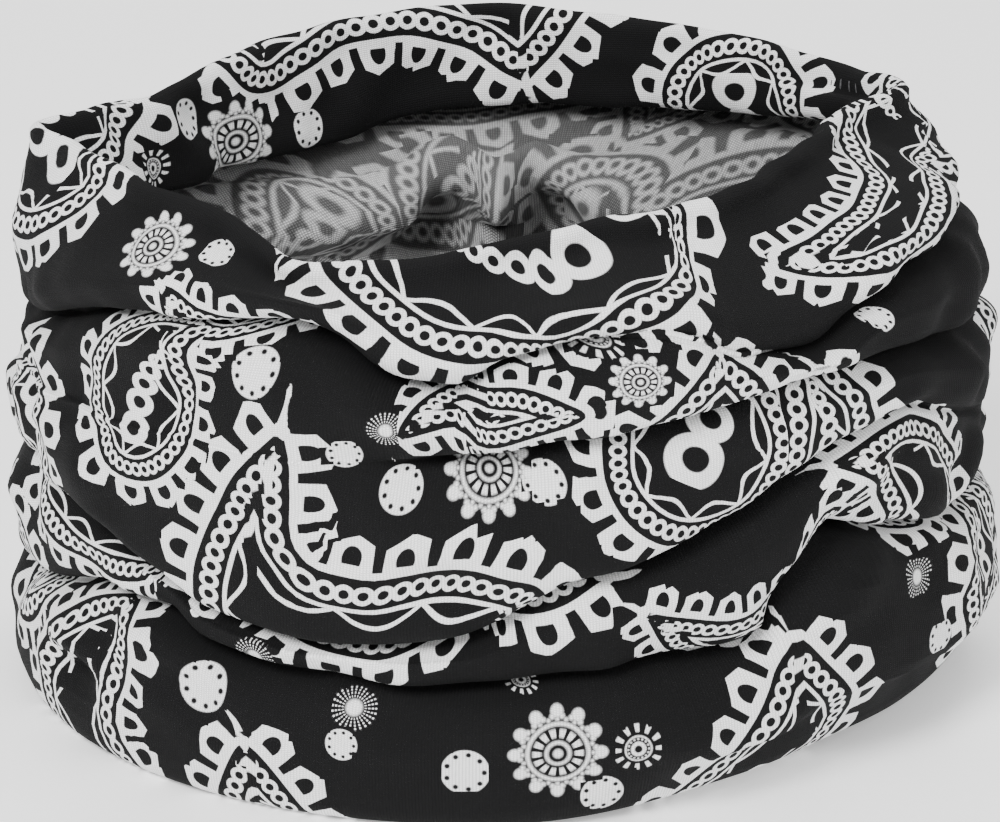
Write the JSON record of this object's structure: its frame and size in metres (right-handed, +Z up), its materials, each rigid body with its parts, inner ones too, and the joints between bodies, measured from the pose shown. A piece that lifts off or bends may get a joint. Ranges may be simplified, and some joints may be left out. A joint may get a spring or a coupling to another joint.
{
  "type": "neck gaiter",
  "caption": "Seamless jersey-knit neck tube pushed down into soft folds, with a turned-in collar, that is worn round the neck in cold weather.",
  "frame": {"origin": "centre of the footprint on the surface that the tube stands on", "axes": "+Z up through the neck opening, -Y the front, +X to the right as seen from the front"},
  "size_m": [0.187, 0.145, 0.1129],
  "materials": {
    "printed_jersey": "fine polyester jersey, black ground with a white paisley print, matte",
    "edge_thread": "black overlock thread",
    "label_satin": "woven satin, blank",
    "label_thread": "white sewing thread"
  },
  "bodies": {
    "root": {"knit_tube": "printed_jersey", "upper_edge_stitching": "edge_thread", "lower_edge_stitching": "edge_thread", "care_label": "label_satin", "label_stitching_left": "label_thread", "label_stitching_right": "label_thread"}
  },
  "joints": []
}
